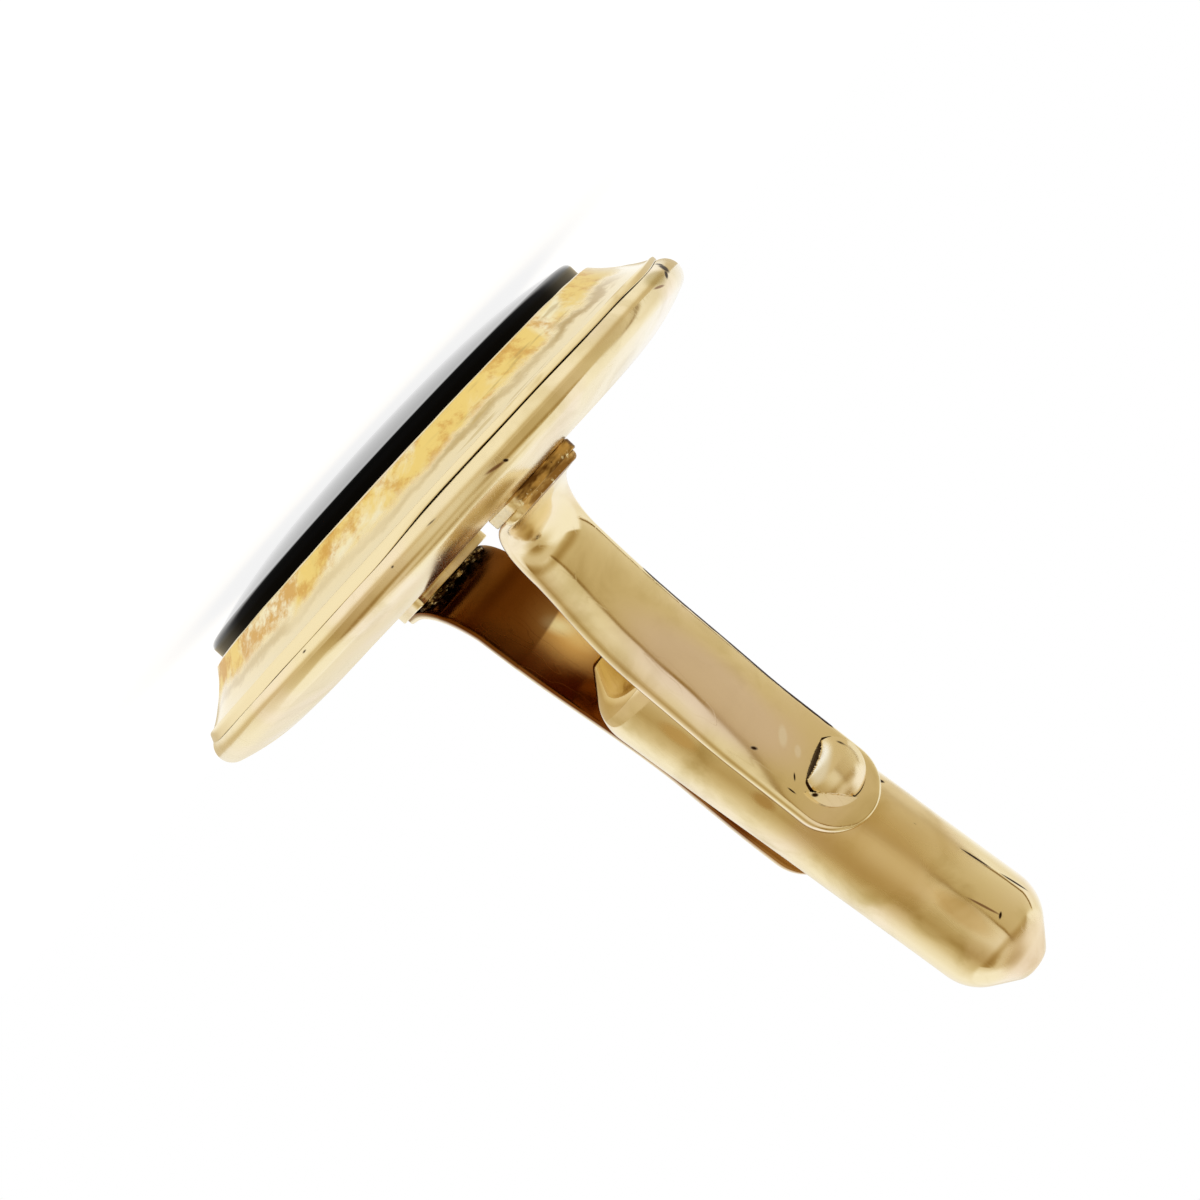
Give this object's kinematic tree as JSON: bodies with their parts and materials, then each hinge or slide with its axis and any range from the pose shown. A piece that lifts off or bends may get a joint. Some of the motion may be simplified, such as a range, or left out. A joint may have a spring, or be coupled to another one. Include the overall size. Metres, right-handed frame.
{
  "type": "cufflink",
  "caption": "Round cufflink: a low-domed black stone in a hollow-sided gold frame, a forked post of flat arms, and a bullet toggle that swings across it to fasten the cuff.",
  "frame": {"origin": "centre of the polished flat on the stone, on the surface that the cufflink stands on face down", "axes": "+Z from the stone's face through the head to the toggle; the toggle swings in the XZ plane; +Y along the pivot pin, towards its domed head and the near arm"},
  "size_m": [0.02, 0.02, 0.0257],
  "materials": {
    "onyx": "polished",
    "setting_cement": "matte",
    "polished_gold": "polished, lightly worn",
    "satin_gold": "fine matte with light polish at the edges",
    "raw_solder": "rough, darkened",
    "spring_steel": "bright drawn"
  },
  "bodies": {
    "head": {"onyx_stone": "onyx", "cement_bed": "setting_cement", "stone_collet": "polished_gold", "seat_plate": "satin_gold", "bezel_frame": "satin_gold", "back_cup": "polished_gold", "near_foot_pad": "polished_gold", "far_foot_pad": "polished_gold", "near_foot_solder": "raw_solder", "far_foot_solder": "raw_solder", "near_arm": "polished_gold", "far_arm": "polished_gold", "pivot_pin": "polished_gold"},
    "toggle": {"toggle_tube": "polished_gold", "toggle_inner_cap": "polished_gold", "toggle_outer_cap": "polished_gold", "detent_spring": "spring_steel"}
  },
  "joints": [
    {"name": "toggle_swing", "type": "hinge", "parent": "head", "child": "toggle", "pos_m": [0.00103, 0, 0.0168], "axis": [0, 1, 0], "range_deg": [-92.3, 87.7]}
  ]
}
